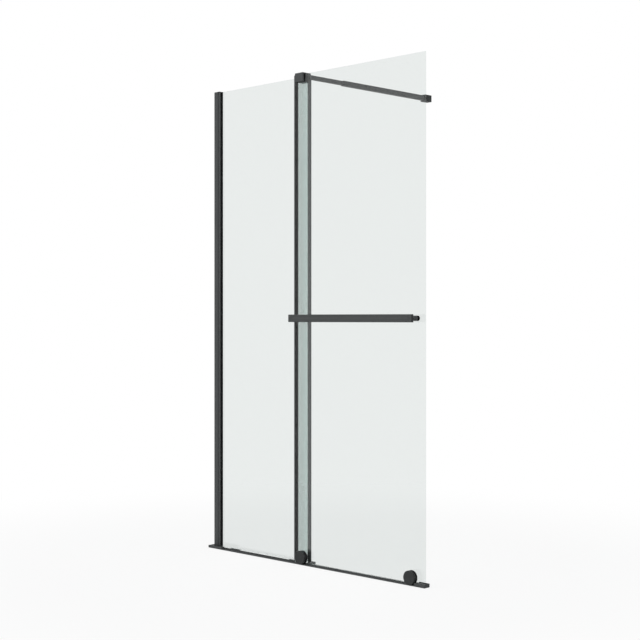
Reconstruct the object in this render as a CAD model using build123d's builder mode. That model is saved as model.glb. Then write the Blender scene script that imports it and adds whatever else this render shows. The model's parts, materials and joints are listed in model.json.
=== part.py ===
from build123d import *
from math import sqrt
import os

# Sliding shower screen: a fixed pane in a wall profile, a sliding pane on two floor wheels in front of it,
# and a telescopic brace from the fixed pane to the wall behind. Sizes are in millimetres.
# X runs along the screen away from the side wall, Y into the shower, Z up.
# The origin is the middle of the floor rail's underside.

# Screen
rail_length = 1210.0
screen_height = 1950.0
glass_thickness = 6.0
glass_bevel = 0.6
door_offset = 4.0            # front face of the sliding pane, behind the rail's centre line
pane_gap = 19.0              # clear distance between the two panes
fixed_reach = 573.5          # side wall to the free edge of the fixed pane
pane_overlap = 61.0          # how far the closed door stands behind that edge
door_end_gap = 11.5          # free edge of the closed door to the end of the rail
door_rise = 5.5              # the door's top edge above the fixed pane's

# Floor rail
rail_depth = 30.0
tape_thickness = 1.0
tape_inset = 1.0
rail_base = 2.0
rail_wall = 1.5
rail_wall_height = 3.0
sweep_wall = 1.0
slide_gap = 0.3
bead_radius = 1.7
groove_side_gap = 0.5
end_plate = 3.0
open_stop_height = 14.0
wall_stop_height = 11.0
wall_stop_rear = 45.0
stop_gap = 0.5
stop_fillet = 1.0

# Wheels
wheel_radius = 26.3
wheel_width = 15.4
wheel_wall_gap = 0.5
wheel_cover_thickness = 5.3
wheel_edge_fillet = 1.2
hub_recess_radius = 12.5
hub_recess_depth = 4.7
bearing_radius = 11.0
bearing_width = 7.0
bearing_lip = 3.0
axle_radius = 4.0
axle_fit = 0.06
axle_head_radius = 6.5
axle_head_thickness = 2.3
axle_head_gap = 0.3
axle_flange_radius = 15.0
axle_shank_radius = 5.0
roller_hole_radius = 7.0
roller_nut_radius = 12.0
roller_nut_thickness = 6.0
roller_inset_left = 51.5
roller_inset_right = 60.0
gasket_thickness = 1.0

# Door travel, from closed towards the side wall
door_travel = 460.0

# Wall profile
wall_channel_front = 11.0    # in front of the fixed pane's front face
wall_channel_reach = 24.0
wall_channel_wall = 1.8
glazing_reach = 33.0
glazing_web_start = 9.0
glazing_slot_start = 14.0
glazing_wall = 1.6
profile_clearance = 0.2
gasket_side = 2.0
gasket_length = 14.0
wall_cap_thickness = 2.0
wall_screw_radius = 3.0
wall_screw_count = 4
wall_screw_end = 100.0
profile_screw_count = 3
profile_screw_end = 150.0
profile_screw_radius = 1.9
profile_screw_head_radius = 4.0
profile_screw_head = 2.2
profile_screw_socket = 1.8
profile_edge = 0.8

# Floor channel under the fixed pane
floor_channel_wall = 1.5
floor_channel_height = 8.0
setting_block_thickness = 1.5
setting_block_length = 60.0
setting_block_inset = 90.0
channel_cap_length = 22.0
channel_cap_height = 10.0

# Edge profiles and seals
edge_profile_wall = 1.5
fixed_edge_width = 12.0
door_edge_front = 7.0
door_edge_rear = 15.0
door_edge_bottom = 12.0
lip_thickness = 1.2
lip_inset = 1.2
lip_gap = 0.4
seal_thickness = 3.0
seal_wall = 0.8
seal_width = 53.0
sweep_bottom_gap = 0.8
sweep_height = 6.5
door_bottom_gap = 3.0

# Brace clamp at the top of the fixed pane
clamp_width = 45.5
clamp_inset = 28.5
clamp_plate_thickness = 6.7
clamp_drop = 24.0
clamp_bridge = 4.5
clamp_slot_gap = 1.5
clamp_jaw = 5.0
clamp_pad = 1.0
clamp_fillet = 1.2
liner_thickness = 2.0
liner_drop = 26.0
grub_radius = 2.5
grub_spacing = 24.0
grub_drop = 14.0
grub_socket = 1.5

# Brace
brace_reach = 762.0
outer_tube_width = 18.0
outer_tube_height = 21.0
tube_wall = 1.7
tube_gap = 0.3
tube_corner = 1.5
inner_exposed = 206.0
inner_tube_length = 524.0
inner_tube_wall = 1.5
spigot_length = 20.0
glide_length = 8.0
glide_gap = 0.15
wall_bracket_size = 30.0
wall_bracket_depth = 40.0
wall_bracket_floor = 7.0
wall_bracket_fillet = 3.0
bracket_screw_radius = 2.75
set_screw_radius = 2.0
set_screw_length = 4.0
set_screw_inset = 14.0
set_screw_sink = 0.2
set_screw_socket = 1.2

# Handle
handle_inset_left = 8.0
handle_inset_right = 27.0
handle_height = 30.0
handle_thickness = 10.0
handle_wall = 1.5
handle_corner = 2.4
handle_standoff = 34.0
handle_z = 981.0
handle_end_inset = 16.5
end_cap_thickness = 3.0
end_cap_tongue = 8.0
post_radius = 10.0
post_bore_radius = 4.0
post_bore_depth = 14.0
post_thread_depth = 10.0
handle_hole_radius = 6.0
handle_screw_radius = 2.5
handle_screw_head_radius = 4.5
handle_screw_head = 3.0
cap_radius = 5.6
cap_stem_radius = 5.0
cap_proud = 0.4
rear_head_radius = 10.0
rear_head_thickness = 3.5
rear_head_socket = 3.5
socket_depth = 1.4

# Places worked out from the sizes above
wall_x = -rail_length / 2
open_x = rail_length / 2
front_y = -rail_depth / 2
rear_y = rail_depth / 2
track_z = tape_thickness + rail_base
channel_z = track_z + rail_wall_height
door_front = door_offset
door_rear = door_front + glass_thickness
fixed_front = door_rear + pane_gap
fixed_rear = fixed_front + glass_thickness
fixed_mid = (fixed_front + fixed_rear) / 2
guide_gap = sweep_wall + slide_gap
guide_front = door_front - guide_gap
guide_rear = door_rear + guide_gap
fixed_edge_x = wall_x + fixed_reach
door_left = fixed_edge_x - pane_overlap
door_right = open_x - door_end_gap
door_bottom = track_z + door_bottom_gap
door_top = screen_height + door_rise

wheel_rear = guide_front - rail_wall - wheel_wall_gap
wheel_front = wheel_rear - wheel_width
wheel_mid = (wheel_front + wheel_rear) / 2
wheel_z = track_z + slide_gap + wheel_radius
bearing_front = wheel_front + hub_recess_depth
bearing_rear = bearing_front + bearing_width
roller_xs = {"left": door_left + roller_inset_left, "right": door_right - roller_inset_right}

glazing_front = fixed_front - gasket_side
glazing_rear = fixed_rear + gasket_side
wall_front = fixed_front - wall_channel_front
wall_rear = glazing_rear + glazing_wall + profile_clearance + wall_channel_wall
wall_mid = (wall_front + wall_rear) / 2

door_edge_left = door_left - edge_profile_wall
door_edge_back = door_rear + edge_profile_wall
fixed_profile_right = fixed_edge_x + edge_profile_wall
fixed_profile_left = fixed_profile_right - fixed_edge_width
seal_front = fixed_front - seal_thickness

clamp_x = fixed_edge_x - clamp_inset
clamp_left = clamp_x - clamp_width / 2
clamp_right = clamp_x + clamp_width / 2
slot_front = door_front - slide_gap - liner_thickness
slot_rear = door_rear + slide_gap + liner_thickness
slot_top = door_top + clamp_slot_gap
clamp_top = slot_top + clamp_bridge
clamp_bottom = screen_height - clamp_drop
clamp_front = slot_front - clamp_plate_thickness
clamp_rear = fixed_rear + clamp_pad + clamp_jaw

brace_z = clamp_top - outer_tube_height / 2
cavity_width = outer_tube_width - 2 * tube_wall
cavity_height = outer_tube_height - 2 * tube_wall
inner_tube_width = cavity_width - 2 * tube_gap
inner_tube_height = cavity_height - 2 * tube_gap
back_wall_y = fixed_rear + brace_reach
outer_start = clamp_rear + inner_exposed
inner_end = clamp_rear + inner_tube_length
outer_end = back_wall_y - wall_bracket_floor
bracket_front = back_wall_y - wall_bracket_depth

bar_rear = door_front - handle_standoff
bar_front = bar_rear - handle_thickness
bar_mid = (bar_front + bar_rear) / 2
bar_left = door_left + handle_inset_left
bar_right = door_right - handle_inset_right
post_xs = {"left": bar_left + handle_end_inset, "right": bar_right - handle_end_inset}

os.makedirs("parts", exist_ok=True)


def save(piece, label):
    """Names a finished piece and writes it to its own file."""
    piece.part.label = label
    export_step(piece.part, f"parts/{label}.step")


def facing(x, y, z):
    """A plane across the screen at depth y that looks out of its front face."""
    return Plane(origin=(x, y, z), x_dir=(1, 0, 0), z_dir=(0, -1, 0))


def area(low, high, mode=Mode.ADD):
    """A rectangle from one corner to the opposite one, in the open sketch."""
    with Locations(((low[0] + high[0]) / 2, (low[1] + high[1]) / 2)):
        Rectangle(high[0] - low[0], high[1] - low[1], mode=mode)


def spread(low, high, count):
    """Evenly spaced places from low to high, both included."""
    return [low + (high - low) * i / (count - 1) for i in range(count)]


# Floor rail, with a bead for the wheels and a channel that guides the door's lower edge
with BuildPart() as floor_rail:
    with BuildSketch(Plane.YZ.offset(wall_x + end_plate)):
        area((front_y, tape_thickness), (rear_y, track_z))
        with Locations((wheel_mid, track_z)):
            Circle(bead_radius)
        area((wheel_mid - bead_radius, tape_thickness), (wheel_mid + bead_radius, track_z))
        area((guide_front - rail_wall, track_z), (guide_front, channel_z))
        area((guide_rear, track_z), (guide_rear + rail_wall, channel_z))
    extrude(amount=rail_length - 2 * end_plate)
save(floor_rail, "floor_rail")

with BuildPart() as rail_tape:
    with BuildSketch(Plane.XY):
        Rectangle(rail_length - 2 * tape_inset, rail_depth - 2 * tape_inset)
    extrude(amount=tape_thickness)
save(rail_tape, "rail_tape")


def chord(height):
    """Half the width of a wheel at this height above the floor."""
    return sqrt(wheel_radius**2 - (wheel_z - height) ** 2)


def end_stop(end, inner, rear_inner, height, label):
    """Covers one end of the rail and stops the nearest wheel; the door's lower edge runs through its slot."""
    low, high = min(end, inner), max(end, inner)
    rear_low, rear_high = min(end, rear_inner), max(end, rear_inner)
    plate_low, plate_high = (end, end + end_plate) if end < 0 else (end - end_plate, end)
    with BuildPart() as stop:
        with BuildSketch(Plane.XY.offset(track_z)):
            area((low, front_y), (high, guide_front - rail_wall))
            area((rear_low, guide_rear + rail_wall), (rear_high, rear_y))
            area((plate_low, front_y), (plate_high, rear_y))
        extrude(amount=height - track_z)
        with BuildSketch(Plane.XY.offset(tape_thickness)):
            area((plate_low, front_y), (plate_high, rear_y))
        extrude(amount=rail_base)
        with BuildSketch(Plane.YZ.offset(low)):
            with Locations((wheel_mid, track_z)):
                Circle(bead_radius)
        extrude(amount=high - low - end_plate if end > 0 else high - low, mode=Mode.SUBTRACT)
        fillet(stop.edges().filter_by(Axis.Y).group_by(Axis.Z)[-1], stop_fillet)
    save(stop, label)


wall_stop_x = roller_xs["left"] - door_travel - chord(wall_stop_height) - stop_gap
open_stop_x = roller_xs["right"] + chord(open_stop_height) + stop_gap
end_stop(wall_x, wall_stop_x, wall_x + wall_stop_rear, wall_stop_height, "rail_end_stop_wall")
end_stop(open_x, open_stop_x, open_stop_x, open_stop_height, "rail_end_stop_open")

# Wall profile: a channel screwed to the wall, and the glazing profile that slides into it
with BuildPart() as wall_channel:
    with BuildSketch(Plane.XY):
        area((wall_x, wall_front), (wall_x + wall_channel_reach, wall_rear))
        area(
            (wall_x + wall_channel_wall, wall_front + wall_channel_wall),
            (wall_x + wall_channel_reach, wall_rear - wall_channel_wall),
            Mode.SUBTRACT,
        )
    extrude(amount=screen_height)
    fillet(wall_channel.edges().filter_by(Axis.Z).group_by(Axis.X)[-1], profile_edge)
    for z in spread(wall_screw_end, screen_height - wall_screw_end, wall_screw_count):
        with BuildSketch(Plane(origin=(wall_x, wall_mid, z), x_dir=(0, 1, 0), z_dir=(1, 0, 0))):
            Circle(wall_screw_radius)
        extrude(amount=wall_channel_wall, mode=Mode.SUBTRACT)
    for z in spread(profile_screw_end, screen_height - profile_screw_end, profile_screw_count):
        with BuildSketch(facing(wall_x + (glazing_web_start + wall_channel_reach) / 2, wall_rear, z)):
            Circle(profile_screw_radius)
        extrude(amount=wall_channel_wall, mode=Mode.SUBTRACT)
save(wall_channel, "wall_channel")

glazing_low = wall_front + wall_channel_wall + profile_clearance
glazing_high = wall_rear - wall_channel_wall - profile_clearance
profile_screw_x = wall_x + (glazing_web_start + wall_channel_reach) / 2
with BuildPart() as glazing_profile:
    with BuildSketch(Plane.XY):
        area((wall_x + glazing_web_start, glazing_low), (wall_x + glazing_reach, glazing_high))
        area((wall_x + glazing_slot_start, glazing_front), (wall_x + glazing_reach, glazing_rear), Mode.SUBTRACT)
        area(
            (wall_x + glazing_web_start + glazing_wall, glazing_low + glazing_wall),
            (wall_x + glazing_reach - glazing_wall, glazing_front - glazing_wall),
            Mode.SUBTRACT,
        )
    extrude(amount=screen_height)
    for z in spread(profile_screw_end, screen_height - profile_screw_end, profile_screw_count):
        with BuildSketch(facing(profile_screw_x, glazing_high, z)):
            Circle(profile_screw_radius)
        extrude(amount=glazing_wall, mode=Mode.SUBTRACT)
save(glazing_profile, "glazing_profile")

with BuildPart() as profile_screws:
    for z in spread(profile_screw_end, screen_height - profile_screw_end, profile_screw_count):
        with BuildSketch(facing(profile_screw_x, wall_rear + profile_screw_head, z)):
            Circle(profile_screw_head_radius)
        extrude(amount=profile_screw_head)
        with BuildSketch(facing(profile_screw_x, wall_rear + profile_screw_head, z)):
            RegularPolygon(profile_screw_socket, 6)
        extrude(amount=socket_depth, mode=Mode.SUBTRACT)
        with BuildSketch(facing(profile_screw_x, wall_rear, z)):
            Circle(profile_screw_radius)
        extrude(amount=wall_rear - glazing_high + glazing_wall)
save(profile_screws, "profile_screws")

with BuildPart() as wall_profile_cap:
    with BuildSketch(Plane.XY.offset(screen_height)):
        area((wall_x, wall_front), (wall_x + glazing_reach, wall_rear))
    extrude(amount=wall_cap_thickness)
    fillet(wall_profile_cap.edges().group_by(Axis.Z)[-1], profile_edge)
save(wall_profile_cap, "wall_profile_cap")

for label, low, high in (
    ("glazing_gasket_front", glazing_front, fixed_front),
    ("glazing_gasket_rear", fixed_rear, glazing_rear),
):
    with BuildPart() as gasket:
        with BuildSketch(Plane.XY.offset(floor_channel_height)):
            area((wall_x + glazing_reach - gasket_length, low), (wall_x + glazing_reach, high))
        extrude(amount=screen_height - floor_channel_height)
    save(gasket, label)

# Fixed pane, its floor channel and its free edge
fixed_left = wall_x + glazing_slot_start
fixed_bottom = floor_channel_wall + setting_block_thickness
with BuildPart() as fixed_glass:
    with BuildSketch(facing(0, fixed_rear, 0)):
        area((fixed_left, fixed_bottom), (fixed_edge_x, screen_height))
    extrude(amount=glass_thickness)
    chamfer(fixed_glass.edges().filter_by(Axis.X).group_by(Axis.Z)[-1], glass_bevel)
save(fixed_glass, "fixed_glass")

with BuildPart() as floor_channel:
    with BuildSketch(Plane.YZ.offset(wall_x + glazing_reach)):
        area((glazing_front - floor_channel_wall, 0), (glazing_rear + floor_channel_wall, floor_channel_height))
        area((glazing_front, floor_channel_wall), (glazing_rear, floor_channel_height), Mode.SUBTRACT)
    extrude(amount=fixed_profile_right - wall_x - glazing_reach)
save(floor_channel, "floor_channel")

with BuildPart() as floor_channel_end_cap:
    with BuildSketch(Plane.YZ.offset(fixed_profile_right)):
        area((rear_y, 0), (glazing_rear + floor_channel_wall, channel_cap_height))
    extrude(amount=channel_cap_length)
    fillet(floor_channel_end_cap.edges().group_by(Axis.Z)[-1], stop_fillet)
save(floor_channel_end_cap, "floor_channel_end_cap")

with BuildPart() as setting_blocks:
    with BuildSketch(Plane.XY.offset(floor_channel_wall)):
        for x in (wall_x + glazing_reach + setting_block_inset, fixed_edge_x - setting_block_inset):
            with Locations((x, fixed_mid)):
                Rectangle(setting_block_length, glass_thickness)
    extrude(amount=setting_block_thickness)
save(setting_blocks, "setting_blocks")

with BuildPart() as fixed_edge_profile:
    with BuildSketch(Plane.XY.offset(floor_channel_height)):
        area(
            (fixed_profile_left, fixed_front - edge_profile_wall),
            (fixed_profile_right, fixed_rear + edge_profile_wall),
        )
        area((fixed_profile_left, fixed_front), (fixed_edge_x, fixed_rear), Mode.SUBTRACT)
    extrude(amount=screen_height - floor_channel_height)
    with BuildSketch(Plane.XY.offset(clamp_bottom)):
        area(
            (fixed_profile_left, fixed_front - edge_profile_wall),
            (clamp_right, fixed_rear + edge_profile_wall),
        )
    extrude(amount=clamp_drop, mode=Mode.SUBTRACT)
save(fixed_edge_profile, "fixed_edge_profile")

with BuildPart() as overlap_seal:
    with BuildSketch(Plane.XY.offset(floor_channel_height)):
        area((fixed_profile_left - seal_width, seal_front), (fixed_profile_left, fixed_front))
        area(
            (fixed_profile_left - seal_width + seal_wall, seal_front + seal_wall),
            (fixed_profile_left - seal_wall, fixed_front - seal_wall),
            Mode.SUBTRACT,
        )
    extrude(amount=clamp_bottom - floor_channel_height)
save(overlap_seal, "overlap_seal")

# Clamp that grips the fixed pane's top edge and keeps the door's top edge upright
with BuildPart() as brace_clamp:
    with BuildSketch(Plane.YZ.offset(clamp_left)):
        area((clamp_front, clamp_bottom), (clamp_rear, clamp_top))
        area((slot_front, clamp_bottom), (slot_rear, slot_top), Mode.SUBTRACT)
        area((fixed_front - clamp_pad, clamp_bottom), (fixed_rear + clamp_pad, screen_height), Mode.SUBTRACT)
    extrude(amount=clamp_width)
    fillet(brace_clamp.edges().filter_by(Axis.X).group_by(Axis.Z)[-1], clamp_fillet)
    fillet(brace_clamp.edges().filter_by(Axis.Z).group_by(Axis.Y)[0], clamp_fillet)
    with BuildSketch(facing(clamp_x, clamp_rear + spigot_length, brace_z)):
        Rectangle(inner_tube_width - 2 * inner_tube_wall, inner_tube_height - 2 * inner_tube_wall)
    extrude(amount=spigot_length)
    with BuildSketch(facing(clamp_x, clamp_rear, screen_height - grub_drop)):
        with GridLocations(grub_spacing, 0, 2, 1):
            Circle(grub_radius)
    extrude(amount=clamp_jaw, mode=Mode.SUBTRACT)
save(brace_clamp, "brace_clamp")

with BuildPart() as clamp_pads:
    with BuildSketch(Plane.YZ.offset(clamp_left + clamp_fillet)):
        area((fixed_front - clamp_pad, clamp_bottom), (fixed_front, screen_height))
        area((fixed_rear, clamp_bottom), (fixed_rear + clamp_pad, screen_height))
    extrude(amount=clamp_width - 2 * clamp_fillet)
save(clamp_pads, "clamp_pads")

with BuildPart() as clamp_grub_screws:
    with BuildSketch(facing(clamp_x, clamp_rear, screen_height - grub_drop)):
        with GridLocations(grub_spacing, 0, 2, 1):
            Circle(grub_radius)
            RegularPolygon(grub_socket, 6, mode=Mode.SUBTRACT)
    extrude(amount=socket_depth)
    with BuildSketch(facing(clamp_x, clamp_rear - socket_depth, screen_height - grub_drop)):
        with GridLocations(grub_spacing, 0, 2, 1):
            Circle(grub_radius)
    extrude(amount=clamp_jaw - socket_depth)
save(clamp_grub_screws, "clamp_grub_screws")

liner_left = door_left + door_edge_rear
for label, low, high, left in (
    ("guide_liner_front", slot_front, slot_front + liner_thickness, clamp_left),
    ("guide_liner_rear", slot_rear - liner_thickness, slot_rear, liner_left),
):
    with BuildPart() as liner:
        with BuildSketch(Plane.YZ.offset(left)):
            area((low, slot_top - liner_drop), (high, slot_top))
        extrude(amount=clamp_right - left)
    save(liner, label)

# Telescopic brace
with BuildPart() as brace_inner_tube:
    with BuildSketch(facing(clamp_x, inner_end, brace_z)):
        RectangleRounded(inner_tube_width, inner_tube_height, tube_corner)
        Rectangle(
            inner_tube_width - 2 * inner_tube_wall, inner_tube_height - 2 * inner_tube_wall, mode=Mode.SUBTRACT
        )
    extrude(amount=inner_tube_length)
save(brace_inner_tube, "brace_inner_tube")

with BuildPart() as brace_inner_glide:
    with BuildSketch(facing(clamp_x, inner_end + glide_length, brace_z)):
        Rectangle(cavity_width - 2 * glide_gap, cavity_height - 2 * glide_gap)
    extrude(amount=glide_length)
    with BuildSketch(facing(clamp_x, inner_end, brace_z)):
        Rectangle(inner_tube_width - 2 * inner_tube_wall, inner_tube_height - 2 * inner_tube_wall)
    extrude(amount=glide_length)
save(brace_inner_glide, "brace_inner_glide")

set_screw_y = outer_start + set_screw_inset
outer_bottom = brace_z - outer_tube_height / 2
with BuildPart() as brace_outer_tube:
    with BuildSketch(facing(clamp_x, outer_end, brace_z)):
        RectangleRounded(outer_tube_width, outer_tube_height, tube_corner)
        Rectangle(cavity_width, cavity_height, mode=Mode.SUBTRACT)
    extrude(amount=outer_end - outer_start)
    with BuildSketch(Plane.XY.offset(outer_bottom)):
        with Locations((clamp_x, set_screw_y)):
            Circle(set_screw_radius)
    extrude(amount=tube_wall, mode=Mode.SUBTRACT)
save(brace_outer_tube, "brace_outer_tube")

with BuildPart() as brace_set_screw:
    with BuildSketch(Plane.XY.offset(outer_bottom + tube_wall - set_screw_sink)):
        with Locations((clamp_x, set_screw_y)):
            Circle(set_screw_radius)
    extrude(amount=-set_screw_length)
    with BuildSketch(Plane.XY.offset(outer_bottom + tube_wall - set_screw_sink - set_screw_length)):
        with Locations((clamp_x, set_screw_y)):
            RegularPolygon(set_screw_socket, 6)
    extrude(amount=socket_depth, mode=Mode.SUBTRACT)
save(brace_set_screw, "brace_set_screw")

with BuildPart() as brace_wall_bracket:
    with BuildSketch(facing(clamp_x, back_wall_y, brace_z)):
        RectangleRounded(wall_bracket_size, wall_bracket_size, wall_bracket_fillet)
    extrude(amount=wall_bracket_depth)
    with BuildSketch(facing(clamp_x, outer_end, brace_z)):
        RectangleRounded(outer_tube_width, outer_tube_height, tube_corner)
    extrude(amount=outer_end - bracket_front, mode=Mode.SUBTRACT)
    fillet(brace_wall_bracket.faces().sort_by(Axis.Y)[0].outer_wire().edges(), profile_edge)
    with BuildSketch(facing(clamp_x, back_wall_y, brace_z)):
        Circle(bracket_screw_radius)
    extrude(amount=wall_bracket_floor, mode=Mode.SUBTRACT)
save(brace_wall_bracket, "brace_wall_bracket")

# Sliding pane with its edge profile, lip seal and lower sweep
with BuildPart() as door_glass:
    with BuildSketch(facing(0, door_rear, 0)):
        area((door_left, door_bottom), (door_right, door_top))
        for x in roller_xs.values():
            with Locations((x, wheel_z)):
                Circle(roller_hole_radius, mode=Mode.SUBTRACT)
        for x in post_xs.values():
            with Locations((x, handle_z)):
                Circle(handle_hole_radius, mode=Mode.SUBTRACT)
    extrude(amount=glass_thickness)
    chamfer(door_glass.edges().filter_by(Axis.Z).group_by(Axis.X)[-1], glass_bevel)
    chamfer(door_glass.edges().filter_by(Axis.X).group_by(Axis.Z)[-1], glass_bevel)
save(door_glass, "door_glass")

with BuildPart() as door_edge_profile:
    with BuildSketch(Plane.XY.offset(door_edge_bottom)):
        area((door_edge_left, door_front - edge_profile_wall), (door_left, door_edge_back))
        area((door_edge_left, door_front - edge_profile_wall), (door_edge_left + door_edge_front, door_front))
        area((door_edge_left, door_rear), (door_edge_left + door_edge_rear, door_edge_back))
    extrude(amount=door_top - door_edge_bottom)
save(door_edge_profile, "door_edge_profile")

with BuildPart() as door_lip_seal:
    with BuildSketch(Plane.XY.offset(door_edge_bottom)):
        area(
            (door_edge_left + lip_inset, door_edge_back),
            (door_edge_left + lip_inset + lip_thickness, seal_front - lip_gap),
        )
    extrude(amount=door_top - door_edge_bottom)
save(door_lip_seal, "door_lip_seal")

sweep_bottom = track_z + sweep_bottom_gap
sweep_right = door_right - glass_bevel
with BuildPart() as door_bottom_sweep:
    with BuildSketch(Plane.YZ.offset(door_left)):
        area((door_front - sweep_wall, sweep_bottom), (door_rear + sweep_wall, sweep_bottom + sweep_height))
        area((door_front, door_bottom), (door_rear, sweep_bottom + sweep_height), Mode.SUBTRACT)
    extrude(amount=sweep_right - door_left)
save(door_bottom_sweep, "door_bottom_sweep")

# Wheels, each on a stud that is bolted through the glass
flange_front = wheel_rear + slide_gap
flange_rear = door_front - gasket_thickness
head_rear = bearing_front - axle_head_gap
for side, x in roller_xs.items():
    with BuildPart() as wheel:
        with BuildSketch(facing(x, wheel_rear, wheel_z)):
            Circle(wheel_radius)
        extrude(amount=wheel_width)
        chamfer(wheel.edges().filter_by(GeomType.CIRCLE).sort_by(Axis.Y)[-1], profile_edge)
        with BuildSketch(facing(x, wheel_mid + bead_radius + groove_side_gap, wheel_z)):
            Circle(wheel_radius)
            Circle(wheel_radius - bead_radius, mode=Mode.SUBTRACT)
        extrude(amount=2 * (bead_radius + groove_side_gap), mode=Mode.SUBTRACT)
        with BuildSketch(facing(x, bearing_front, wheel_z)):
            Circle(hub_recess_radius)
        extrude(amount=hub_recess_depth, mode=Mode.SUBTRACT)
        with BuildSketch(facing(x, bearing_rear, wheel_z)):
            Circle(bearing_radius)
        extrude(amount=bearing_width, mode=Mode.SUBTRACT)
        with BuildSketch(facing(x, wheel_rear, wheel_z)):
            Circle(bearing_radius - bearing_lip)
        extrude(amount=wheel_rear - bearing_rear, mode=Mode.SUBTRACT)
    save(wheel, f"wheel_{side}")

    with BuildPart() as wheel_bearing:
        with BuildSketch(facing(x, bearing_rear, wheel_z)):
            Circle(bearing_radius)
            Circle(axle_radius + axle_fit, mode=Mode.SUBTRACT)
        extrude(amount=bearing_width)
    save(wheel_bearing, f"wheel_bearing_{side}")

    with BuildPart() as wheel_cover:
        with BuildSketch(facing(x, wheel_front, wheel_z)):
            Circle(wheel_radius)
        extrude(amount=wheel_cover_thickness)
        fillet(wheel_cover.edges().filter_by(GeomType.CIRCLE).sort_by(Axis.Y)[0], wheel_edge_fillet)
    save(wheel_cover, f"wheel_cover_{side}")

    with BuildPart() as roller_axle:
        with BuildSketch(facing(x, head_rear, wheel_z)):
            Circle(axle_head_radius)
        extrude(amount=axle_head_thickness)
        with BuildSketch(facing(x, flange_front, wheel_z)):
            Circle(axle_radius)
        extrude(amount=flange_front - head_rear)
        with BuildSketch(facing(x, flange_rear, wheel_z)):
            Circle(axle_flange_radius)
        extrude(amount=flange_rear - flange_front)
        with BuildSketch(facing(x, door_rear + gasket_thickness + roller_nut_thickness, wheel_z)):
            Circle(axle_shank_radius)
        extrude(amount=door_rear + gasket_thickness + roller_nut_thickness - flange_rear)
    save(roller_axle, f"roller_axle_{side}")

    with BuildPart() as roller_gaskets:
        with BuildSketch(facing(x, door_front, wheel_z)):
            Circle(axle_flange_radius)
            Circle(axle_shank_radius, mode=Mode.SUBTRACT)
        extrude(amount=gasket_thickness)
        with BuildSketch(facing(x, door_rear, wheel_z)):
            Circle(roller_hole_radius)
            Circle(axle_shank_radius, mode=Mode.SUBTRACT)
        extrude(amount=glass_thickness)
        with BuildSketch(facing(x, door_rear + gasket_thickness, wheel_z)):
            Circle(roller_nut_radius)
            Circle(axle_shank_radius, mode=Mode.SUBTRACT)
        extrude(amount=gasket_thickness)
    save(roller_gaskets, f"roller_gasket_{side}")

    with BuildPart() as roller_nut:
        with BuildSketch(facing(x, door_rear + gasket_thickness + roller_nut_thickness, wheel_z)):
            Circle(roller_nut_radius)
        extrude(amount=roller_nut_thickness)
        chamfer(roller_nut.edges().filter_by(GeomType.CIRCLE).sort_by(Axis.Y)[-1], profile_edge)
        with BuildSketch(facing(x, door_rear + gasket_thickness + roller_nut_thickness, wheel_z)):
            Circle(axle_shank_radius)
        extrude(amount=roller_nut_thickness, mode=Mode.SUBTRACT)
    save(roller_nut, f"roller_nut_{side}")

# Handle and towel bar
tube_left = bar_left + end_cap_thickness
tube_right = bar_right - end_cap_thickness
with BuildPart() as handle_bar:
    with BuildSketch(Plane.YZ.offset(tube_left)):
        with Locations((bar_mid, handle_z)):
            RectangleRounded(handle_thickness, handle_height, handle_corner)
            Rectangle(handle_thickness - 2 * handle_wall, handle_height - 2 * handle_wall, mode=Mode.SUBTRACT)
    extrude(amount=tube_right - tube_left)
    for x in post_xs.values():
        with BuildSketch(facing(x, bar_front + handle_wall, handle_z)):
            Circle(cap_stem_radius)
        extrude(amount=handle_wall, mode=Mode.SUBTRACT)
        with BuildSketch(facing(x, bar_rear, handle_z)):
            Circle(handle_screw_radius)
        extrude(amount=handle_wall, mode=Mode.SUBTRACT)
save(handle_bar, "handle_bar")

for side, outer, inner, tongue in (
    ("left", bar_left, tube_left, tube_left + end_cap_tongue),
    ("right", bar_right, tube_right, tube_right - end_cap_tongue),
):
    with BuildPart() as end_cap:
        with BuildSketch(Plane.YZ.offset(inner)):
            with Locations((bar_mid, handle_z)):
                RectangleRounded(handle_thickness, handle_height, handle_corner)
        extrude(amount=outer - inner)
        fillet(end_cap.faces().sort_by(Axis.X)[0 if outer < inner else -1].edges(), stop_fillet)
        with BuildSketch(Plane.YZ.offset(inner)):
            with Locations((bar_mid, handle_z)):
                Rectangle(handle_thickness - 2 * handle_wall, handle_height - 2 * handle_wall)
        extrude(amount=tongue - inner)
    save(end_cap, f"handle_end_cap_{side}")

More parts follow.
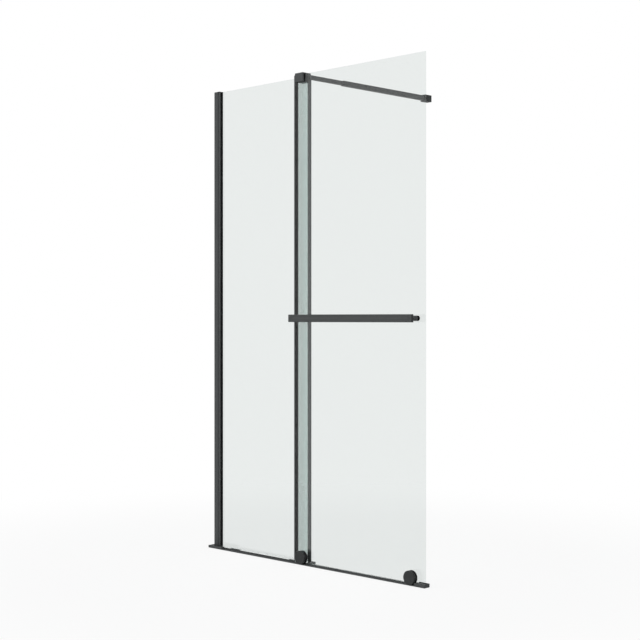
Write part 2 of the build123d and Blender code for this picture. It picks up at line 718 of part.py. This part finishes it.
post_end = door_front - gasket_thickness
rear_face = door_rear + gasket_thickness
for side, x in post_xs.items():
    with BuildPart() as handle_post:
        with BuildSketch(facing(x, post_end, handle_z)):
            Circle(post_radius)
        extrude(amount=post_end - bar_rear)
        with BuildSketch(facing(x, post_end, handle_z)):
            Circle(post_bore_radius)
        extrude(amount=post_bore_depth, mode=Mode.SUBTRACT)
        with BuildSketch(facing(x, bar_rear + post_thread_depth, handle_z)):
            Circle(handle_screw_radius)
        extrude(amount=post_thread_depth, mode=Mode.SUBTRACT)
    save(handle_post, f"handle_post_{side}")

    with BuildPart() as rear_bolt:
        with BuildSketch(facing(x, rear_face + rear_head_thickness, handle_z)):
            Circle(rear_head_radius)
        extrude(amount=rear_head_thickness)
        fillet(rear_bolt.edges().filter_by(GeomType.CIRCLE).sort_by(Axis.Y)[-1], stop_fillet)
        with BuildSketch(facing(x, rear_face + rear_head_thickness, handle_z)):
            RegularPolygon(rear_head_socket, 6)
        extrude(amount=socket_depth, mode=Mode.SUBTRACT)
        with BuildSketch(facing(x, rear_face, handle_z)):
            Circle(post_bore_radius)
        extrude(amount=rear_face - post_end + post_bore_depth)
    save(rear_bolt, f"handle_rear_bolt_{side}")

    with BuildPart() as handle_gasket:
        with BuildSketch(facing(x, door_front, handle_z)):
            Circle(post_radius)
            Circle(post_bore_radius, mode=Mode.SUBTRACT)
        extrude(amount=gasket_thickness)
        with BuildSketch(facing(x, door_rear, handle_z)):
            Circle(handle_hole_radius)
            Circle(post_bore_radius, mode=Mode.SUBTRACT)
        extrude(amount=glass_thickness)
        with BuildSketch(facing(x, rear_face, handle_z)):
            Circle(rear_head_radius)
            Circle(post_bore_radius, mode=Mode.SUBTRACT)
        extrude(amount=gasket_thickness)
    save(handle_gasket, f"handle_gasket_{side}")

head_seat = bar_rear - handle_wall
with BuildPart() as handle_screws:
    for x in post_xs.values():
        with BuildSketch(facing(x, head_seat, handle_z)):
            Circle(handle_screw_head_radius)
        extrude(amount=handle_screw_head)
        with BuildSketch(facing(x, bar_rear + post_thread_depth, handle_z)):
            Circle(handle_screw_radius)
        extrude(amount=bar_rear + post_thread_depth - head_seat)
save(handle_screws, "handle_screws")

with BuildPart() as handle_screw_caps:
    for x in post_xs.values():
        with BuildSketch(facing(x, bar_front, handle_z)):
            Circle(cap_radius)
        extrude(amount=cap_proud)
        with BuildSketch(facing(x, bar_front + handle_wall, handle_z)):
            Circle(cap_stem_radius)
        extrude(amount=handle_wall)
save(handle_screw_caps, "handle_screw_caps")
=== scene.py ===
import json
import math

import bpy
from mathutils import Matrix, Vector


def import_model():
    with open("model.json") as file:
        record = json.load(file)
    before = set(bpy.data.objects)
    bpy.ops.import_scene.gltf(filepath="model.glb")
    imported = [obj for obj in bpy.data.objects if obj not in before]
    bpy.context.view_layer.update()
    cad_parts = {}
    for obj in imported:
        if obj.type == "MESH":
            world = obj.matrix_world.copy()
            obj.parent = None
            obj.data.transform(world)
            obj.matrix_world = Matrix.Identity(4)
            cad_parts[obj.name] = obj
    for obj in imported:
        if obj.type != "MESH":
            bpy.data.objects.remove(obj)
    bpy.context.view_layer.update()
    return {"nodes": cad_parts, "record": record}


# Looks of the sliding shower screen: camera, light, floor and a procedural material for every solid.
# Sizes are in metres, in the frame's own axes: X along the screen, Y into the shower, Z up.

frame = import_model()
nodes = frame["nodes"]
bpy.context.scene.view_settings.view_transform = "Standard"

# Camera: level, half-way up the screen, looking along the diagonal
camera_place = (3.6957, -3.6405, 0.9799)
camera_turn = (math.pi / 2, 0.0, math.pi / 4)
camera_lens = 73.63
camera_sensor = 36.0
camera_shift = -0.0022
camera_reach = 60.0

# Lamps: direction towards the lamp, spread in degrees, power
key_lamp = ((-0.50, -0.85, 0.28), 55.0, 1.9)
back_lamp = ((0.10, 0.90, 0.35), 70.0, 0.7)
sky_colour = (0.95, 0.98, 1.0, 1.0)
sky_strength = 0.42
white = (1.0, 1.0, 1.0, 1.0)

# Floor: the seen part fades from nearly white around the object to white further out
floor_half = 14.0
floor_drop = 0.0006
floor_colour = (0.92, 0.92, 0.92, 1.0)
fade_start = 0.9
fade_end = 2.6
near_white = 0.88

# Powder coat: how much paler its edges are painted as a highlight, and where an edge starts and ends
edge_highlight_gain = 2.2
edge_highlight_lift = 0.01
edge_highlight_amount = 0.5
edge_start = 0.52
edge_end = 0.62


def add(tree, kind, sockets=None, **settings):
    """A new shader node, with its settings and then the values of its sockets."""
    node = tree.nodes.new("ShaderNode" + kind)
    for key, value in settings.items():
        setattr(node, key, value)
    for key, value in (sockets or {}).items():
        node.inputs[key].default_value = value
    return node


def blend(tree, share, first, second, target):
    """Mixes the first shader with the second by its share, into the target socket."""
    mix = add(tree, "MixShader")
    tree.links.new(share, mix.inputs["Fac"])
    tree.links.new(first.outputs[0], mix.inputs[1])
    tree.links.new(second.outputs[0], mix.inputs[2])
    tree.links.new(mix.outputs[0], target)


def camera():
    data = bpy.data.cameras.new("camera")
    data.sensor_width = camera_sensor
    data.lens = camera_lens
    data.shift_y = camera_shift
    data.clip_end = camera_reach
    obj = bpy.data.objects.new("camera", data)
    obj.location = camera_place
    obj.rotation_euler = camera_turn
    bpy.context.scene.collection.objects.link(obj)
    bpy.context.scene.camera = obj


def sun_light(name, towards, spread, power):
    """A broad soft light from far away, so that the top and the foot of the tall object get the same."""
    data = bpy.data.lights.new(name, "SUN")
    data.energy = power
    data.angle = math.radians(spread)
    obj = bpy.data.objects.new(name, data)
    obj.rotation_euler = Vector(towards).to_track_quat("Z", "Y").to_euler()
    obj.visible_glossy = False
    obj.visible_transmission = False
    bpy.context.scene.collection.objects.link(obj)


def seen_rays(tree):
    """1 for camera, mirror and glass rays, which see white; 0 for the rays that light the object."""
    path = add(tree, "LightPath")
    seen = path.outputs["Is Camera Ray"]
    for ray in ("Is Glossy Ray", "Is Transmission Ray"):
        either = add(tree, "Math", operation="MAXIMUM")
        tree.links.new(seen, either.inputs[0])
        tree.links.new(path.outputs[ray], either.inputs[1])
        seen = either.outputs[0]
    return seen


def world():
    """A soft grey sky as light, and a white one behind the object."""
    studio = bpy.data.worlds.new("studio")
    bpy.context.scene.world = studio
    studio.use_nodes = True
    tree = studio.node_tree
    tree.nodes.clear()
    out = add(tree, "OutputWorld")
    sky = add(tree, "Background", {"Color": sky_colour, "Strength": sky_strength})
    backdrop = add(tree, "Background", {"Color": white, "Strength": 1.0})
    blend(tree, seen_rays(tree), sky, backdrop, out.inputs["Surface"])


def floor():
    """Plain ground that takes the object's shadow, and shows white to the camera further out."""
    mesh = bpy.data.meshes.new("floor")
    r = floor_half
    mesh.from_pydata([(-r, -r, 0), (r, -r, 0), (r, r, 0), (-r, r, 0)], [], [(0, 1, 2, 3)])
    obj = bpy.data.objects.new("floor", mesh)
    obj.location = (0.0, 0.0, -floor_drop)
    bpy.context.scene.collection.objects.link(obj)
    mat = bpy.data.materials.new("floor_white")
    mat.use_nodes = True
    tree = mat.node_tree
    tree.nodes.clear()
    out = add(tree, "OutputMaterial")
    ground = add(tree, "BsdfDiffuse", {"Color": floor_colour})
    glow = add(tree, "Emission", {"Color": white})
    coord = add(tree, "TexCoord")
    distance = add(tree, "VectorMath", operation="LENGTH")
    fade = add(
        tree,
        "MapRange",
        {"From Min": fade_start, "From Max": fade_end, "To Min": near_white, "To Max": 1.0},
        interpolation_type="SMOOTHSTEP",
    )
    share = add(tree, "Math", operation="MULTIPLY")
    tree.links.new(coord.outputs["Object"], distance.inputs[0])
    tree.links.new(distance.outputs["Value"], fade.inputs["Value"])
    tree.links.new(seen_rays(tree), share.inputs[0])
    tree.links.new(fade.outputs["Result"], share.inputs[1])
    blend(tree, share.outputs[0], ground, glow, out.inputs["Surface"])
    mesh.materials.append(mat)


camera()
world()
floor()
sun_light("key", *key_lamp)
sun_light("back", *back_lamp)


def base(name):
    mat = bpy.data.materials.new(name)
    mat.use_nodes = True
    tree = mat.node_tree
    return mat, tree, tree.nodes["Principled BSDF"]


def noise(tree, scale, detail, rough=0.55, stretch=None):
    """Noise in the object's own space, drawn out along an axis where a stretch is given."""
    place = add(tree, "TexCoord").outputs["Object"]
    tex = add(tree, "TexNoise", {"Scale": scale, "Detail": detail, "Roughness": rough})
    if stretch:
        mapping = add(tree, "Mapping", {"Scale": stretch})
        tree.links.new(place, mapping.inputs["Vector"])
        place = mapping.outputs[0]
    tree.links.new(place, tex.inputs["Vector"])
    return tex.outputs["Fac"]


def ramp(tree, fac, low, high, dark, light):
    """Dark up to the low value of the factor, light from the high one."""
    node = add(tree, "ValToRGB")
    for element, position, colour in zip(node.color_ramp.elements, (low, high), (dark, light)):
        element.position = position
        element.color = (*colour, 1.0)
    tree.links.new(fac, node.inputs["Fac"])
    return node.outputs["Color"]


def level(tree, fac, low, high):
    """A factor of 0 to 1 brought to the range from low to high."""
    node = add(tree, "MapRange", {"To Min": low, "To Max": high})
    tree.links.new(fac, node.inputs["Value"])
    return node.outputs["Result"]


def painted_edge_highlight(tree, colour, edge_highlight_colour):
    """Painted highlight: a little of a paler colour along the edges, where the bevels would catch the
    light.
    """
    geometry = add(tree, "NewGeometry")
    edge = add(tree, "MapRange", {"From Min": edge_start, "From Max": edge_end, "To Max": edge_highlight_amount})
    tree.links.new(geometry.outputs["Pointiness"], edge.inputs["Value"])
    mix = add(tree, "Mix", {"B": (*edge_highlight_colour, 1.0)}, data_type="RGBA")
    tree.links.new(edge.outputs["Result"], mix.inputs["Factor"])
    tree.links.new(colour, mix.inputs["A"])
    return mix.outputs["Result"]


def surface(tree, shader, colour, pattern, rough, strength, depth):
    """The colour, and a roughness and a bump that both follow the fine pattern."""
    relief = add(tree, "Bump", {"Strength": strength, "Distance": depth})
    tree.links.new(pattern, relief.inputs["Height"])
    tree.links.new(colour, shader.inputs["Base Color"])
    tree.links.new(level(tree, pattern, *rough), shader.inputs["Roughness"])
    tree.links.new(relief.outputs["Normal"], shader.inputs["Normal"])


def coated(name, dark, light):
    """Satin powder coat: a fine orange-peel grain, a little cloudiness in the black, and a painted
    highlight along its edges.
    """
    mat, tree, shader = base(name)
    cloud = noise(tree, scale=7.0, detail=3.0)
    grain = noise(tree, scale=900.0, detail=2.0, rough=0.5)
    colour = ramp(tree, cloud, 0.35, 0.7, dark, light)
    # Painted highlight: the edges are lightened towards a paler copy of the coat colour
    colour = painted_edge_highlight(tree, colour, tuple(edge_highlight_gain * c + edge_highlight_lift for c in light))
    surface(tree, shader, colour, grain, rough=(0.44, 0.58), strength=0.35, depth=0.00004)
    shader.inputs["Specular IOR Level"].default_value = 0.12
    return mat


def plastic(name, dark, light):
    """Moulded plastic with a very fine grain."""
    mat, tree, shader = base(name)
    grain = noise(tree, scale=1400.0, detail=2.0, rough=0.5)
    colour = ramp(tree, noise(tree, scale=24.0, detail=3.0), 0.3, 0.75, dark, light)
    surface(tree, shader, colour, grain, rough=(0.45, 0.6), strength=0.3, depth=0.00003)
    shader.inputs["Specular IOR Level"].default_value = 0.14
    return mat


def rubber(name, dark, light):
    """Dull rubber or foam, coarser than the plastic."""
    mat, tree, shader = base(name)
    grain = noise(tree, scale=700.0, detail=3.0, rough=0.6)
    colour = ramp(tree, noise(tree, scale=40.0, detail=3.0), 0.3, 0.75, dark, light)
    surface(tree, shader, colour, grain, rough=(0.62, 0.85), strength=0.4, depth=0.00005)
    shader.inputs["Specular IOR Level"].default_value = 0.1
    return mat


def steel(name, stretch):
    """Brushed stainless steel: fine drawn lines along the piece."""
    mat, tree, shader = base(name)
    lines = noise(tree, scale=260.0, detail=5.0, rough=0.6, stretch=stretch)
    colour = ramp(tree, lines, 0.3, 0.7, (0.42, 0.42, 0.43), (0.62, 0.62, 0.63))
    surface(tree, shader, colour, lines, rough=(0.22, 0.4), strength=0.2, depth=0.00003)
    shader.inputs["Metallic"].default_value = 1.0
    return mat


def glass(name, tint):
    """Float glass: light passes with a green tint, the coat gives the two surfaces their reflections."""
    mat, tree, shader = base(name)
    shader.inputs["Base Color"].default_value = (*tint, 1.0)
    shader.inputs["Transmission Weight"].default_value = 1.0
    shader.inputs["IOR"].default_value = 1.002
    shader.inputs["Coat Weight"].default_value = 1.0
    shader.inputs["Coat IOR"].default_value = 1.45
    film = noise(tree, scale=5.0, detail=3.0, rough=0.5)
    tree.links.new(level(tree, film, 0.0, 0.006), shader.inputs["Roughness"])
    tree.links.new(level(tree, film, 0.01, 0.05), shader.inputs["Coat Roughness"])
    shadow = add(tree, "LightPath").outputs["Is Shadow Ray"]
    clear = add(tree, "BsdfTransparent", {"Color": (*tint, 1.0)})
    blend(tree, shadow, shader, clear, tree.nodes["Material Output"].inputs["Surface"])
    return mat


def vinyl(name, dark, light, cover):
    """Clear soft vinyl, drawn along its length: thin, slightly green, with faint lines."""
    mat, tree, shader = base(name)
    lines = noise(tree, scale=90.0, detail=3.0, rough=0.5, stretch=(8.0, 8.0, 0.15))
    colour = ramp(tree, lines, 0.3, 0.7, dark, light)
    surface(tree, shader, colour, lines, rough=(0.14, 0.26), strength=0.2, depth=0.00003)
    shader.inputs["Alpha"].default_value = cover
    return mat


# One material for each slot of the record, and a paler vinyl for the seals that lie on the floor
materials = {
    "black_metal": coated("powder_coat", (0.033, 0.035, 0.035), (0.043, 0.045, 0.045)),
    "black_plastic": plastic("moulded_plastic", (0.022, 0.022, 0.024), (0.032, 0.032, 0.034)),
    "black_rubber": rubber("gasket_rubber", (0.014, 0.014, 0.015), (0.024, 0.024, 0.025)),
    "stainless": steel("stainless_steel", (1.0, 1.0, 8.0)),
    "bearing_steel": steel("bearing_steel", (6.0, 1.0, 6.0)),
    "tape": rubber("foam_tape", (0.42, 0.42, 0.42), (0.5, 0.5, 0.5)),
    "glass": glass("clear_glass", (0.808, 0.836, 0.826)),
    "floor_vinyl": vinyl("floor_vinyl", (0.62, 0.68, 0.67), (0.74, 0.80, 0.79), 0.05),
    "clear_seal": vinyl("clear_vinyl", (0.20, 0.42, 0.38), (0.28, 0.50, 0.46), 0.125),
}
floor_seals = ("floor_channel", "door_bottom_sweep")

slots = {entry["node"]: entry["material_slot"] for entry in frame["record"]["subparts"]}
for name, obj in nodes.items():
    mat = materials["floor_vinyl" if name in floor_seals else slots[name]]
    if not obj.data.materials:
        obj.data.materials.append(mat)
    for slot in obj.material_slots:
        slot.material = mat
